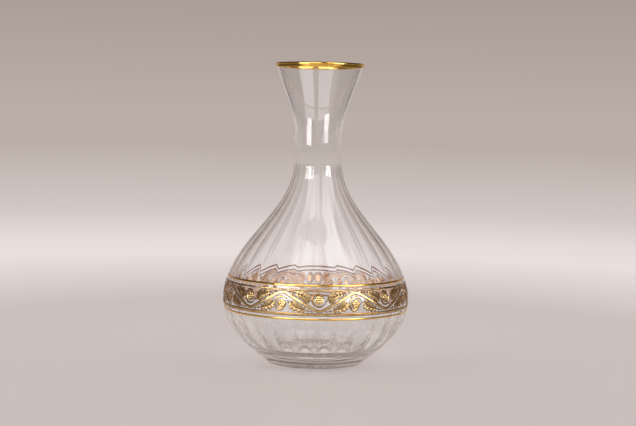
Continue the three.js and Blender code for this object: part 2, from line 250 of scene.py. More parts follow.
# Surroundings: the plain light on surfaces, and what the camera, glass and metal see instead. A sine is
# that of the angle above the horizon or, for the front and the sides, away from the middle of the room.
PLAIN_LIGHT = 0.62
SKY_HORIZON = (187, 174, 168)
SKY_ABOVE = (170, 157, 150)
SKY_ABOVE_SINE = 0.085
CEILING = (0.06, 0.035, 0.025, 1)
CEILING_SINES = (0.22, 0.36)
FRONT_GREY = (0.3, 0.29, 0.28, 1)
FRONT_SINE = 0.3
SIDE_SINES = (0.66, 0.8)

# Lamps. Each upright one has two spans in degrees as the carafe sees them: round it from the front,
# and above the level of LAMP_AIM.
LAMP_DISTANCE = 1.15
LAMP_AIM = 0.18
LEFT_SOFTBOX = ((-46, 4), (18, 70))
RIGHT_SOFTBOX = ((23, 72), (18, 70))
SOFTBOX_RADIANCE = 1.9
LEFT_LAMP = ((-53, -28), (2, 24))
RIGHT_LAMP = ((37, 61), (1, 18))
SMALL_LAMP_RADIANCE = 8.0
SUN_AZIMUTH = math.radians(45)
SUN_ELEVATION = math.radians(50)
SUN_SPREAD = math.radians(50)
SUN_STRENGTH = 0.78

# Camera, fitted to the outline in the photograph
CAMERA_DISTANCE = 1.1757
CAMERA_HEIGHT = 0.2054
CAMERA_LENS = 79.5
AIM_HEIGHT = 0.1249
AIM_RIGHT = 0.7 * MM
CAMERA_ROLL = math.radians(1.1)

# How often light may bounce, so that it gets through all walls of the glass
LIGHT_BOUNCES = 40
TRANSPARENT_BOUNCES = 24

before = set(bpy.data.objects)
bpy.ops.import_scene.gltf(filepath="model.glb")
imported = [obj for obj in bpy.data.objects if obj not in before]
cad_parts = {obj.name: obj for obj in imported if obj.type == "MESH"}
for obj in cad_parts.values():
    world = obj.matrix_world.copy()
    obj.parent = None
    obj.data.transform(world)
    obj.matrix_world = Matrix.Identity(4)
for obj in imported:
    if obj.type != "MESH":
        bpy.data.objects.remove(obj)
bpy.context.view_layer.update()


# Heights that follow from the sizes

lip_rise = WALL / 2 * (1 + math.sin(MOUTH_FLARE))
mouth_height = CARAFE_HEIGHT - CAD_GILT_GAP - GILT_THICKNESS - lip_rise
flute_foot = FLOOR_HEIGHT + FLOOR_DISH
flute_top = NECK_HEIGHT + FLUTES_ABOVE_NECK
lower_line = BELLY_HEIGHT - LOWER_LINE_DROP
upper_line = BELLY_HEIGHT + UPPER_LINE_RISE
lower_border = lower_line + (LINE_WIDTH + LOWER_BORDER_WIDTH) / 2 + LOWER_STRIP
upper_border = upper_line - (LINE_WIDTH + UPPER_BORDER_WIDTH) / 2 - UPPER_STRIP


# Wall curves

def bezier(start, start_handle, end_handle, end, shares):
    """Points of a cubic curve, one row of radius and height for each share of its run."""
    t = np.asarray(shares, float)[:, None]
    parts = ((1 - t) ** 3, 3 * t * (1 - t) ** 2, 3 * t**2 * (1 - t), t**3)
    points = (start, start_handle, end_handle, end)
    return sum(part * np.array(point) for part, point in zip(parts, points))


def outer_wall():
    """The outer wall at fine steps from the foot up: points, and the directions out of the glass."""
    shares = np.linspace(0, 1, WALL_SAMPLES)
    mouth_lead = np.array([math.sin(MOUTH_FLARE), math.cos(MOUTH_FLARE)])
    mouth = np.array([MOUTH_RADIUS, mouth_height])
    under_belly = bezier(
        (FOOT_RADIUS, 0),
        (FOOT_RADIUS + FOOT_REACH * math.cos(FOOT_SLOPE), FOOT_REACH * math.sin(FOOT_SLOPE)),
        (BELLY_RADIUS, BELLY_HEIGHT - BELLY_REACH_DOWN),
        (BELLY_RADIUS, BELLY_HEIGHT),
        shares,
    )
    shoulder = bezier(
        (BELLY_RADIUS, BELLY_HEIGHT),
        (BELLY_RADIUS, BELLY_HEIGHT + BELLY_REACH_UP),
        (NECK_RADIUS, NECK_HEIGHT - NECK_REACH_DOWN),
        (NECK_RADIUS, NECK_HEIGHT),
        shares,
    )
    throat = bezier(
        (NECK_RADIUS, NECK_HEIGHT),
        (NECK_RADIUS, NECK_HEIGHT + NECK_REACH_UP),
        mouth - MOUTH_REACH * mouth_lead,
        mouth,
        shares,
    )
    line = np.vstack([under_belly, shoulder[1:], throat[1:]])
    run = np.gradient(line, axis=0)
    run /= np.linalg.norm(run, axis=1)[:, None]
    return line, np.column_stack([run[:, 1], -run[:, 0]])


WALL_LINE, WALL_OUT = outer_wall()


def beside_wall(height, lift):
    """Radius and height of points beside the outer wall, lift away from the glass."""
    height = np.asarray(height, float)
    radius = np.interp(height, WALL_LINE[:, 1], WALL_LINE[:, 0])
    out = [np.interp(height, WALL_LINE[:, 1], WALL_OUT[:, k]) for k in (0, 1)]
    return radius + lift * out[0], height + lift * out[1]


def along_wall(low, high, count):
    """Heights between two others, evenly spaced along the wall."""
    reach = (WALL_LINE[:, 1] >= low) & (WALL_LINE[:, 1] <= high)
    line = WALL_LINE[reach]
    run = np.concatenate([[0], np.cumsum(np.linalg.norm(np.diff(line, axis=0), axis=1))])
    heights = np.interp(np.linspace(0, run[-1], count), run, line[:, 1])
    heights[0], heights[-1] = low, high
    return heights


def lip_round(lift, count):
    """The round of the lip at a distance from the glass, from the outer side over the top."""
    radius, height = beside_wall(mouth_height, -WALL / 2)
    turn = np.linspace(-MOUTH_FLARE, math.pi - MOUTH_FLARE, count)
    reach = WALL / 2 + lift
    return np.column_stack([radius + reach * np.cos(turn), height + reach * np.sin(turn)])


def smoothstep(value, low, high):
    """How far a value is from low to high, as 0 to 1 with soft ends."""
    share = np.clip((value - low) / (high - low), 0, 1)
    return share * share * (3 - 2 * share)


# Meshes

def new_piece(name, vertices, faces, materials, looks=None):
    """A smooth-shaded mesh object from arrays. looks gives each face's material number."""
    mesh = bpy.data.meshes.new(name)
    mesh.from_pydata([tuple(v) for v in vertices], [], [tuple(f) for f in faces])
    for material in materials:
        mesh.materials.append(material)
    if looks is not None:
        mesh.polygons.foreach_set("material_index", looks)
    mesh.polygons.foreach_set("use_smooth", [True] * len(mesh.polygons))
    mesh.update()
    piece = bpy.data.objects.new(name, mesh)
    bpy.context.scene.collection.objects.link(piece)
    return piece


def turned(profile, closed, ridge=None):
    """Vertices and faces of a profile turned round Z.

    ridge takes a ring's radius and height, and the angles, and says how far its points are pushed in.
    """
    angles = np.arange(ROUND_STEPS) * 2 * math.pi / ROUND_STEPS
    rings = []
    for radius, height in profile:
        radii = radius - (ridge(radius, height, angles) if ridge else 0)
        heights = np.full(ROUND_STEPS, height)
        rings.append(np.column_stack([radii * np.sin(angles), -radii * np.cos(angles), heights]))
    vertices = np.vstack(rings)
    faces = []
    last = len(profile) if closed else len(profile) - 1
    for i in range(last):
        here = i * ROUND_STEPS
        above = (i + 1) % len(profile) * ROUND_STEPS
        for j in range(ROUND_STEPS):
            k = (j + 1) % ROUND_STEPS
            faces.append((here + j, here + k, above + k, above + j))
    return vertices, faces


# Vessel

def ridge_push(radius, height, angles):
    """How far the ridges between the flutes stand in from the inner wall, at each angle."""
    turns = angles / (2 * math.pi) * FLUTES
    from_ridge = np.abs(turns - np.round(turns))
    at_foot = smoothstep(height, flute_foot, flute_foot + FLUTE_FOOT_FADE)
    below_top = 1 - smoothstep(height, flute_top - FLUTE_TOP_FADE, flute_top)
    low = 1 - smoothstep(height, flute_foot, BELLY_HEIGHT)
    full_depth = (RIDGE_DEPTH + (RIDGE_DEPTH_LOW - RIDGE_DEPTH) * low) * radius / BELLY_RADIUS
    depth = full_depth * at_foot * below_top
    return depth * (1 - 2 * from_ridge) ** 2


def vessel_floor():
    """The inside floor, from the edge of the wall to the axis."""
    edge = np.array(beside_wall(flute_foot, -WALL))
    near = [np.array(beside_wall(flute_foot + step, -WALL)) for step in (-SLOPE_STEP, SLOPE_STEP)]
    slope = (near[1] - near[0]) / np.linalg.norm(near[1] - near[0])
    shares = np.linspace(0, 1, FLOOR_RINGS)
    corner = edge - FLOOR_CORNER_REACH * slope
    return bezier(edge, corner, (FLOOR_FLATNESS, FLOOR_HEIGHT), (0, FLOOR_HEIGHT), shares)


def vessel_mesh():
    """The glass: hollow under the foot, outer wall, lip, fluted inner wall and floor, as one skin."""
    share = np.linspace(0, 1, PUNT_RINGS)
    punt = np.column_stack([(FOOT_RADIUS - FOOT_RING) * share, PUNT_DEPTH * (1 - share**2)])
    outside = np.column_stack(beside_wall(along_wall(0, mouth_height, OUTER_RINGS), 0))
    lip = lip_round(0, LIP_RINGS)
    inner_heights = along_wall(flute_foot, mouth_height, INNER_RINGS)[::-1]
    inside = np.column_stack(beside_wall(inner_heights, -WALL))
    profile = np.vstack([punt[1:], outside, lip[1:-1], inside, vessel_floor()[1:-1]])
    inner_start = len(punt) - 1 + len(outside) + len(lip) - 2
    fluted = {tuple(point) for point in profile[inner_start : inner_start + len(inside)]}

    def push(radius, height, angles):
        return ridge_push(radius, height, angles) if (radius, height) in fluted else 0

    vertices, faces = turned(profile, closed=False, ridge=push)
    last_ring = (len(profile) - 1) * ROUND_STEPS
    under, over = len(vertices), len(vertices) + 1
    vertices = np.vstack([vertices, [(0, 0, PUNT_DEPTH), (0, 0, FLOOR_HEIGHT)]])
    for j in range(ROUND_STEPS):
        k = (j + 1) % ROUND_STEPS
        faces.append((under, k, j))
        faces.append((last_ring + j, last_ring + k, over))
    return vertices, faces


# Gilding on the lip

def lip_gilding(material):
    """Gilding over the top of the lip and a little way down both sides."""
    face = GILT_LIFT + GILT_THICKNESS
    outside = np.linspace(mouth_height - LIP_GILT_OUTSIDE, mouth_height, LIP_STEPS_OUTSIDE + 1)[:-1]
    inside = np.linspace(mouth_height, mouth_height - LIP_GILT_INSIDE, LIP_STEPS_INSIDE + 1)[1:]
    skin = [beside_wall(h, face) for h in outside]
    skin += [tuple(p) for p in lip_round(face, LIP_RINGS)]
    skin += [beside_wall(h, -WALL - face) for h in inside]
    skin += [beside_wall(h, -WALL - GILT_LIFT) for h in inside[::-1]]
    skin += [tuple(p) for p in lip_round(GILT_LIFT, LIP_RINGS)[::-1]]
    skin += [beside_wall(h, GILT_LIFT) for h in outside[::-1]]
    vertices, faces = turned(np.array(skin), closed=True)
    return new_piece("lip_gold", vertices, faces, [material])


# Bands and frieze, drawn flat as in the model

field_foot = lower_border + LOWER_BORDER_WIDTH / 2
field_top = upper_border - UPPER_BORDER_WIDTH / 2
field_middle = (field_foot + field_top) / 2
field_half = (field_top - field_foot) / 2
scroll_count = 2 * SCROLL_PAIRS
girth = 2 * math.pi * BELLY_RADIUS
scroll_pitch = girth / scroll_count
scroll_offset = (VINE_WIDTH + SCROLL_GAP) / 2
vine_radius = field_half - FRIEZE_CLEARANCE - VINE_WIDTH / 2 + scroll_offset
tendril_radius = vine_radius - (VINE_WIDTH + TENDRIL_WIDTH) / 2 - SCROLL_GAP
rosette_radius = tendril_radius - TENDRIL_WIDTH / 2 - ROSETTE_MARGIN
leave_bearing = math.atan2(-2 * scroll_offset, scroll_pitch) - math.acos(
    2 * vine_radius / math.hypot(scroll_pitch, 2 * scroll_offset)
)
vine_climb = leave_bearing + math.pi / 2


def for_scroll(k, x, y):
    """Moves points drawn for a high scroll at x = 0 to scroll k. Every other one is turned over."""
    return np.column_stack([k * scroll_pitch + np.asarray(x), y if k % 2 == 0 else -np.asarray(y)])


def on_belly(x, y, lift):
    """Lays points of the drawing on the glass."""
    radius, height = beside_wall(field_middle + y, lift)
    angle = FRIEZE_TURN + x / BELLY_RADIUS
    return np.column_stack([radius * np.sin(angle), -radius * np.cos(angle), height])


class Relief:
    """Raised shapes of the flat drawing, gathered and laid on the belly as one piece."""

    TOP, UNDERSIDE = 0, 1
    BESIDE_EACH_OTHER = 0.004 * MM

    def __init__(self):
        self.points, self.faces, self.looks, self.insets = [], [], [], []

    def add(self, points, faces, looks, insets):
        """Takes in a shape, a hair higher than the last so that no two undersides lie in one place."""
        first = sum(len(p) for p in self.points)
        points[:, 2] += GILT_LIFT + self.BESIDE_EACH_OTHER * len(self.points)
        self.points.append(points)
        self.faces += [tuple(first + i for i in face) for face in faces]
        self.looks += looks
        self.insets.append(insets)

    def band(self, line, half, rise, strips=BAND_STRIPS, closed=False, vein=0.0, ribs=0.0, slant=0.0):
        """A rounded band along a line, as far out to both sides at each point as half says.

        vein is the depth of a groove along its middle and ribs that of the grooves across it, as
        shares of its rise. slant is how far the ribs run ahead at its edges, in ribs. Its top is
        drawn in so many strips side by side.
        """
        before = np.roll(line, 1, axis=0)
        after = np.roll(line, -1, axis=0)
        if closed:
            before[0, 0] -= girth
            after[-1, 0] += girth
        else:
            before[0], after[-1] = line[0], line[-1]
        run = after - before
        step = np.linalg.norm(line - before, axis=1)
        along = np.cumsum(step) - step[0]
        rib_pitch = RIB_PITCH
        if closed:
            length = along[-1] + step[0]
            rib_pitch = length / round(length / RIB_PITCH)
        run /= np.linalg.norm(run, axis=1)[:, None]
        out = np.column_stack([-run[:, 1], run[:, 0]])
        u = np.linspace(1, -1, strips + 1)
        half = np.broadcast_to(half, len(line))
        place = line[:, None, :] + out[:, None, :] * (half[:, None] * u)[:, :, None]
        crown = (1 - np.abs(u) ** CROWN_FALL) ** CROWN_ROUNDNESS
        wave = np.cos(2 * math.pi * (along[:, None] / rib_pitch - slant * np.abs(u)))
        ribbed = 1 - ribs * (0.5 + 0.5 * wave)
        veined = 1 - vein * np.exp(-((u / VEIN_REACH) ** 2))
        lift = rise * crown * ribbed * veined
        row = strips + 2
        points = np.zeros((len(line), row, 3))
        points[:, :-1, :2] = place
        points[:, :-1, 2] = lift
        points[:, -1, :2] = line
        insets = np.zeros((len(line), row))
        insets[:, :-1] = half[:, None] * (1 - np.abs(u))
        insets[:, -1] = half
        faces, looks = [], []
        for i in range(len(line) if closed else len(line) - 1):
            here, there = i * row, (i + 1) % len(line) * row
            for j in range(strips):
                faces.append((here + j, here + j + 1, there + j + 1, there + j))
            faces.append((here, there, there + strips + 1, here + strips + 1))
            faces.append((here + strips + 1, there + strips + 1, there + strips, here + strips))
            looks += [self.TOP] * strips + [self.UNDERSIDE] * 2
        if not closed:
            end = (len(line) - 1) * row
            faces += [tuple(range(strips + 1, -1, -1)), tuple(range(end, end + strips + 2))]
            looks += [self.TOP, self.TOP]
        self.add(points.reshape(-1, 3), faces, looks, insets.reshape(-1))

    def boss(self, middle, radius, lift, rings, spokes):
        """A round boss, as high as lift says for a share of the way out to its edge and for bearings."""
        bearings = np.arange(spokes) * 2 * math.pi / spokes
        points, insets = [], []
        for ring in range(rings):
            share = 1 - ring / rings
            x = middle[0] + radius * share * np.cos(bearings)
            y = middle[1] + radius * share * np.sin(bearings)
            points.append(np.column_stack([x, y, np.broadcast_to(lift(share, bearings), spokes)]))
            insets.append(np.full(spokes, radius * (1 - share)))
        crown = float(np.mean(lift(0.0, bearings)))
        points.append([(middle[0], middle[1], crown), (middle[0], middle[1], 0)])
        insets.append([radius, radius])
        top, under = rings * spokes, rings * spokes + 1
        faces, looks = [], []
        for j in range(spokes):
            k = (j + 1) % spokes
            for ring in range(rings - 1):
                here, inner = ring * spokes, (ring + 1) * spokes
                faces.append((here + j, here + k, inner + k, inner + j))
            inner = (rings - 1) * spokes
            faces += [(inner + j, inner + k, top), (k, j, under)]
            looks += [self.TOP] * rings + [self.UNDERSIDE]
        self.add(np.vstack(points), faces, looks, np.concatenate(insets))

    def piece(self, name, materials):
        """The gathered shapes as one object on the belly. It knows how far each point is from an edge."""
        flat = np.vstack(self.points)
        piece = new_piece(name, on_belly(*flat.T), self.faces, materials, self.looks)
        inset = piece.data.attributes.new("inset", "FLOAT", "POINT")
        inset.data.foreach_set("value", (np.concatenate(self.insets) / MM).astype(np.float32))
        piece.data.set_sharp_from_angle(angle=SHARP_ANGLE)
        return piece


def ring_line(height, steps):
    """A level line once round the carafe."""
    x = np.arange(steps) * girth / steps
    return np.column_stack([x, np.full(steps, height - field_middle)])


def gold_line(name, height, materials):
    """A plain gold line round the carafe."""
    relief = Relief()
    line = ring_line(height, ROUND_STEPS)
    relief.band(line, LINE_WIDTH / 2, GILT_THICKNESS, strips=BROAD_BAND_STRIPS, closed=True)
    return relief.piece(name, materials)


def gold_border(name, height, width, materials):
    """A border with slanting ribs, like a cord."""
    relief = Relief()
    line = ring_line(height, BORDER_STEPS)
    relief.band(line, width / 2, GILT_THICKNESS, closed=True, ribs=RIB_DEPTH, slant=BORDER_SLANT)
    return relief.piece(name, materials)


def vine_line():
    """The vine's line once round the carafe."""
    turn = np.linspace(-math.pi / 2 - vine_climb, -math.pi / 2 + vine_climb, VINE_ROUND_STEPS + 1)
    x = vine_radius * np.cos(turn)
    y = scroll_offset + vine_radius * np.sin(turn)
    share = np.linspace(0, 1, VINE_STRAIGHT_STEPS + 1)[1:-1]
    x = np.append(x, x[-1] + share * (scroll_pitch + x[0] - x[-1]))
    y = np.append(y, y[-1] + share * (-y[0] - y[-1]))
    return np.vstack([for_scroll(k, x, y) for k in range(scroll_count)])


def tendril_line(k):
    """A tendril's line: round a rosette, then in to it. It comes with the share of the way along it."""
    share = np.linspace(0, 1, TENDRIL_STEPS + 1)
    bearing = TENDRIL_START - share * TENDRIL_SWEEP
    inward = smoothstep(share, TENDRIL_TURN_IN, 1)
    radius = tendril_radius + inward * (rosette_radius - TENDRIL_SINK - tendril_radius)
    return share, for_scroll(k, radius * np.cos(bearing), scroll_offset + radius * np.sin(bearing))


def leaf_line(k, after):
    """A leaf's line, behind scroll k or after it, with the share of the way along it."""
    beside_vine = (VINE_WIDTH / 2 + FRIEZE_CLEARANCE) / math.cos(vine_climb)
    spots = []
    for along, rise in (LEAF_ROOT, LEAF_BACK, LEAF_CROOK, LEAF_TIP):
        x = along * scroll_pitch
        lowest = (x - scroll_pitch / 2) * math.tan(vine_climb) + beside_vine
        spots.append((x, lowest + rise * (field_half - FRIEZE_CLEARANCE - lowest)))
    share = np.linspace(0, 1, LEAF_STEPS + 1)
    x, y = bezier(*spots, share).T
    return share, for_scroll(k, scroll_pitch - x, -y) if after else for_scroll(k, x, y)


def add_vine(relief):
    """The vine, ribbed like a rope and with a vein along it."""
    grooves = {"vein": VINE_VEIN, "ribs": RIB_DEPTH, "slant": VINE_SLANT}
    relief.band(vine_line(), VINE_WIDTH / 2, GILT_THICKNESS, BROAD_BAND_STRIPS, closed=True, **grooves)


def hump(share, place, reach, power):
    """1 at a place, and falling off on both sides of it. A higher power makes its top flatter."""
    return math.exp(-(abs((share - place) / reach) ** power))


def add_scroll(relief, k):
    """A rimmed rosette, with the tendril that winds round it and ends in a berry."""
    middle = for_scroll(k, [0], [scroll_offset])[0]

    def rosette_lift(share, bearings):
        petals = np.abs(np.cos(ROSETTE_PETALS / 2 * bearings)) ** PETAL_ROUNDNESS
        petals = PETAL_HEIGHT * petals * hump(share, PETAL_PLACE, PETAL_REACH, 4)
        rim = RIM_HEIGHT * hump(share, RIM_PLACE, RIM_REACH, 2)
        button = BUTTON_HEIGHT * hump(share, 0, BUTTON_REACH, 4)
        ground = GROUND_HEIGHT * (1 - share**GROUND_FALL)
        highest = np.maximum.reduce(np.broadcast_arrays(petals, rim, button, ground))
        return ROSETTE_RISE * (1 - share**ROSETTE_FALL) * highest

    relief.boss(middle, rosette_radius, rosette_lift, ROSETTE_RINGS, ROSETTE_SPOKES)
    share, line = tendril_line(k)
    half = (TIP_WIDTH + (TENDRIL_WIDTH - TIP_WIDTH) * np.minimum(1, share / TENDRIL_TAPER)) / 2
    relief.band(line, half, GILT_THICKNESS)
    add_berry(relief, line[0])


def add_berry(relief, middle):
    """A small round berry."""

    def berry_lift(share, bearings):
        return BERRY_RISE * math.sqrt(1 - share**2)

    relief.boss(middle, BERRY_RADIUS, berry_lift, BERRY_RINGS, BERRY_SPOKES)


def add_leaf(relief, k, after):
    """A leaf of rounded lobes, springing from both sides of a midrib."""
    share, line = leaf_line(k, after)
    half = (TIP_WIDTH + (LEAF_WIDTH - TIP_WIDTH) * np.sin(math.pi * share**LEAF_SKEW)) / 2
    run = np.gradient(line, axis=0)
    run /= np.linalg.norm(run, axis=1)[:, None]
    out = np.column_stack([-run[:, 1], run[:, 0]])
    lobe_share = np.linspace(0, 1, LOBE_STEPS + 1)
    lobe_form = np.sin(math.pi * lobe_share**LOBE_SKEW) ** LOBE_ROUNDNESS
    for i in range(LOBES_A_SIDE):
        spot = round((i + FIRST_LOBE) / LOBES_A_SIDE * LEAF_STEPS)
        spread = LOBE_SPREAD_ROOT + (LOBE_SPREAD_TIP - LOBE_SPREAD_ROOT) * share[spot]
        reach = half[min(spot + LOBE_STEPS_AHEAD, LEAF_STEPS)] / math.sin(spread)
        widest = min(LOBE_WIDTH, LOBE_LEAST_WIDTH + LOBE_WIDENING * reach)
        for side in (1, -1):
            lead = math.cos(spread) * run[spot] + side * math.sin(spread) * out[spot]
            lobe = line[spot] + reach * lobe_share[:, None] * lead
            relief.band(lobe, (TIP_WIDTH + widest * lobe_form) / 2, GILT_THICKNESS, vein=LOBE_VEIN)
    relief.band(line, MIDRIB_WIDTH / 2 * (1 - MIDRIB_TAPER * share), MIDRIB_RISE, MIDRIB_STRIPS)


# Materials

def new_material(name):
    """A node material, its nodes and links, and its Principled shader."""
    material = bpy.data.materials.new(name)
    material.use_nodes = True
    nodes = material.node_tree.nodes
    return material, nodes, material.node_tree.links, nodes["Principled BSDF"]


def srgb(colour):
    """A colour of 0 to 255 display values, as a shader takes it."""
    shares = [value / 255 for value in colour]
    linear = [s / 12.92 if s <= 0.04045 else ((s + 0.055) / 1.055) ** 2.4 for s in shares]
    return (*linear, 1)


def noise_node(nodes, links, scale):
    """Noise over the piece's own place, in metres."""
    place = nodes.new("ShaderNodeTexCoord")
    noise = nodes.new("ShaderNodeTexNoise")
    noise.inputs["Scale"].default_value = scale
    noise.inputs["Detail"].default_value = CLOUD_DETAIL
    links.new(place.outputs["Object"], noise.inputs["Vector"])
    return noise


def math_node(nodes, links, operation, one, other):
    """A sum, product or the like of two values, each a number or a node's output."""
    node = nodes.new("ShaderNodeMath")
    node.operation = operation
    for socket, value in zip(node.inputs, (one, other)):
        if isinstance(value, float):
            socket.default_value = value
        else:
            links.new(value, socket)
    return node.outputs["Value"]


def soft_share_node(nodes, links, value, start, end):
    """How far a value is from start to end, as 0 to 1 with soft ends."""
    node = nodes.new("ShaderNodeMapRange")
    node.interpolation_type = "SMOOTHSTEP"
    node.inputs["From Min"].default_value = start
    node.inputs["From Max"].default_value = end
    links.new(value, node.inputs["Value"])
    return node.outputs["Result"]


def mixed_colour_node(nodes, links, share, colour, other):
    """The output of a node that mixes a colour with another, a plain one, by a share.

    The node has sockets for each kind of value. Its inputs 6 and 7 and its output 2 are for colours.
    """
    node = nodes.new("ShaderNodeMix")
    node.data_type = "RGBA"
    links.new(share, node.inputs["Factor"])
    links.new(colour, node.inputs[6])
    node.inputs[7].default_value = other
    return node.outputs[2]


def ramp_node(nodes, links, value, stops):
    """A colour ramp over a value. stops are places and colours."""
    ramp = nodes.new("ShaderNodeValToRGB")
    elements = ramp.color_ramp.elements
    while len(elements) < len(stops):
        elements.new(0.5)
    for element, (place, colour) in zip(elements, stops):
        element.position = place
        element.color = colour
    links.new(value, ramp.inputs["Fac"])
    return ramp


def mirrored_node(nodes, links, path):
    """A share of 1 for rays that metal or glass has sent on, from the light path's outputs."""
    return math_node(nodes, links, "MAXIMUM", path["Is Glossy Ray"], path["Is Transmission Ray"])


def clear_glass():
    """Clear glass, slightly grey through its depth. It lets the lamps' light through to the floor."""
    material, nodes, links, shader = new_material("clear_glass")
    output = nodes["Material Output"]
    shader.inputs["Base Color"].default_value = (1, 1, 1, 1)
    shader.inputs["Roughness"].default_value = 0.0
    shader.inputs["IOR"].default_value = GLASS_IOR
    shader.inputs["Transmission Weight"].default_value = 1.0
    shader.inputs["Specular IOR Level"].default_value = GLASS_SPECULAR
    path = nodes.new("ShaderNodeLightPath")
    clear = nodes.new("ShaderNodeBsdfTransparent")
    clear.inputs["Color"].default_value = GLASS_SHADOW
    mix = nodes.new("ShaderNodeMixShader")
    links.new(path.outputs["Is Shadow Ray"], mix.inputs["Fac"])
    links.new(shader.outputs["BSDF"], mix.inputs[1])
    links.new(clear.outputs["BSDF"], mix.inputs[2])
    links.new(mix.outputs["Shader"], output.inputs["Surface"])
    depth = nodes.new("ShaderNodeVolumeAbsorption")
    depth.inputs["Color"].default_value = GLASS_DEPTH_COLOUR
    depth.inputs["Density"].default_value = GLASS_DENSITY
    links.new(depth.outputs["Volume"], output.inputs["Volume"])
    return material


def clouded_node(nodes, links, cloud, span, deep, colour):
    """A colour that turns deeper here and there, where the cloud is thin."""
    stops = [(place, srgb(tone)) for place, tone in zip(span, (deep, colour))]
    return ramp_node(nodes, links, cloud.outputs["Fac"], stops).outputs["Color"]


def outlined_node(nodes, links, colour, edges, outline):
    """A colour with an outline in another. A piece's inset says how far a point is from an edge."""
    inset = nodes.new("ShaderNodeAttribute")
    inset.attribute_name = "inset"
    share = soft_share_node(nodes, links, inset.outputs["Fac"], *outline)
    return mixed_colour_node(nodes, links, share, colour, srgb(edges))


def gold(name, colour, deep, gloss, grain, edges=None):
    """Fired gold: metal, deeper in colour here and there, with a faint grain.

    edges is the colour of the outline that the frieze's gold has.
    """
    material, nodes, links, shader = new_material(name)
    shader.inputs["Metallic"].default_value = 1.0
    cloud = noise_node(nodes, links, GOLD_CLOUDS)
    tone = clouded_node(nodes, links, cloud, GOLD_CLOUD_SPAN, deep, colour)
    if edges:
        tone = outlined_node(nodes, links, tone, edges, FRIEZE_OUTLINE)
    links.new(tone, shader.inputs["Base Color"])
    roughness = nodes.new("ShaderNodeMapRange")
    roughness.inputs["To Min"].default_value, roughness.inputs["To Max"].default_value = gloss
    links.new(cloud.outputs["Fac"], roughness.inputs["Value"])
    links.new(roughness.outputs["Result"], shader.inputs["Roughness"])
    bumps = noise_node(nodes, links, GRAIN_SCALE)
    relief = nodes.new("ShaderNodeBump")
    relief.inputs["Strength"].default_value = grain
    relief.inputs["Distance"].default_value = GRAIN_DEPTH
    links.new(bumps.outputs["Fac"], relief.inputs["Height"])
    links.new(relief.outputs["Normal"], shader.inputs["Normal"])
    return material


def gold_underside():
    """The gilding's back as it shows through the glass: matt and pale, brown along its edges."""
    material, nodes, links, shader = new_material("gilding_underside")
    shader.inputs["Roughness"].default_value = UNDERSIDE_ROUGHNESS
    cloud = noise_node(nodes, links, UNDERSIDE_CLOUDS)
    tone = clouded_node(nodes, links, cloud, UNDERSIDE_CLOUD_SPAN, UNDERSIDE_DEEP, UNDERSIDE_PALE)
    tone = outlined_node(nodes, links, tone, UNDERSIDE_EDGES, UNDERSIDE_OUTLINE)
    links.new(tone, shader.inputs["Base Color"])
    return material


def painted_shade_past_paper_node(nodes, links, place, distance):
    """A share of 1 where the floor beside the paper has painted shade, seen only by the glass and the
    gold, and else 0.
    """
    parts = nodes.new("ShaderNodeSeparateXYZ")
    links.new(place, parts.inputs["Vector"])
    behind = math_node(nodes, links, "MAXIMUM", parts.outputs["Y"], 0.0)
    widening = math_node(nodes, links, "MULTIPLY", behind, PAPER_WIDENING)
    aside = math_node(nodes, links, "ABSOLUTE", parts.outputs["X"], 0.0)
    aside = math_node(nodes, links, "SUBTRACT", aside, widening)
    past_paper = soft_share_node(nodes, links, aside, PAPER_HALF_WIDTH, PAPER_HALF_WIDTH + PAPER_EDGE)
    near = soft_share_node(nodes, links, distance, DARK_REACH_FAR, DARK_REACH_NEAR)
    dark = math_node(nodes, links, "MULTIPLY", past_paper, near)
    mirrored = mirrored_node(nodes, links, nodes.new("ShaderNodeLightPath").outputs)
    return math_node(nodes, links, "MULTIPLY", dark, mirrored)


def floor_material():
    """A pale, faintly glossy floor with painted light: paler under the foot, brightest in a wide ring
    round the carafe.

    Beside the carafe the glass and the gold see painted shade on it, as they would see an unlit room past
    a sheet of paper.
    """
    material, nodes, links, shader = new_material("floor")
    place = nodes.new("ShaderNodeTexCoord").outputs["Object"]
    length = nodes.new("ShaderNodeVectorMath")
    length.operation = "LENGTH"
    links.new(place, length.inputs[0])
    distance = length.outputs["Value"]
    further = math_node(nodes, links, "ADD", distance, HALFWAY_REACH)
    share = math_node(nodes, links, "DIVIDE", distance, further)
    # The ramp holds the floor's painted light round the carafe and its painted shade further out
    stops = [(reach / (reach + HALFWAY_REACH), srgb(colour)) for reach, colour in FLOOR_TONES_AND_PAINTED_LIGHT]
    tone = ramp_node(nodes, links, share, stops).outputs["Color"]
    # Painted shade in SIDE_DARK beside the paper, only for rays from the glass and the gold
    dark = painted_shade_past_paper_node(nodes, links, place, distance)
    links.new(mixed_colour_node(nodes, links, dark, tone, SIDE_DARK), shader.inputs["Base Color"])

    shader.inputs["Specular IOR Level"].default_value = 0.0
    sheen = nodes.new("ShaderNodeBsdfGlossy")
    sheen.inputs["Roughness"].default_value = FLOOR_SHEEN_ROUGHNESS
    mix = nodes.new("ShaderNodeMixShader")
    mix.inputs["Fac"].default_value = FLOOR_SHEEN
    links.new(shader.outputs["BSDF"], mix.inputs[1])
    links.new(sheen.outputs["BSDF"], mix.inputs[2])
    links.new(mix.outputs["Shader"], nodes["Material Output"].inputs["Surface"])
    return material


# Stage

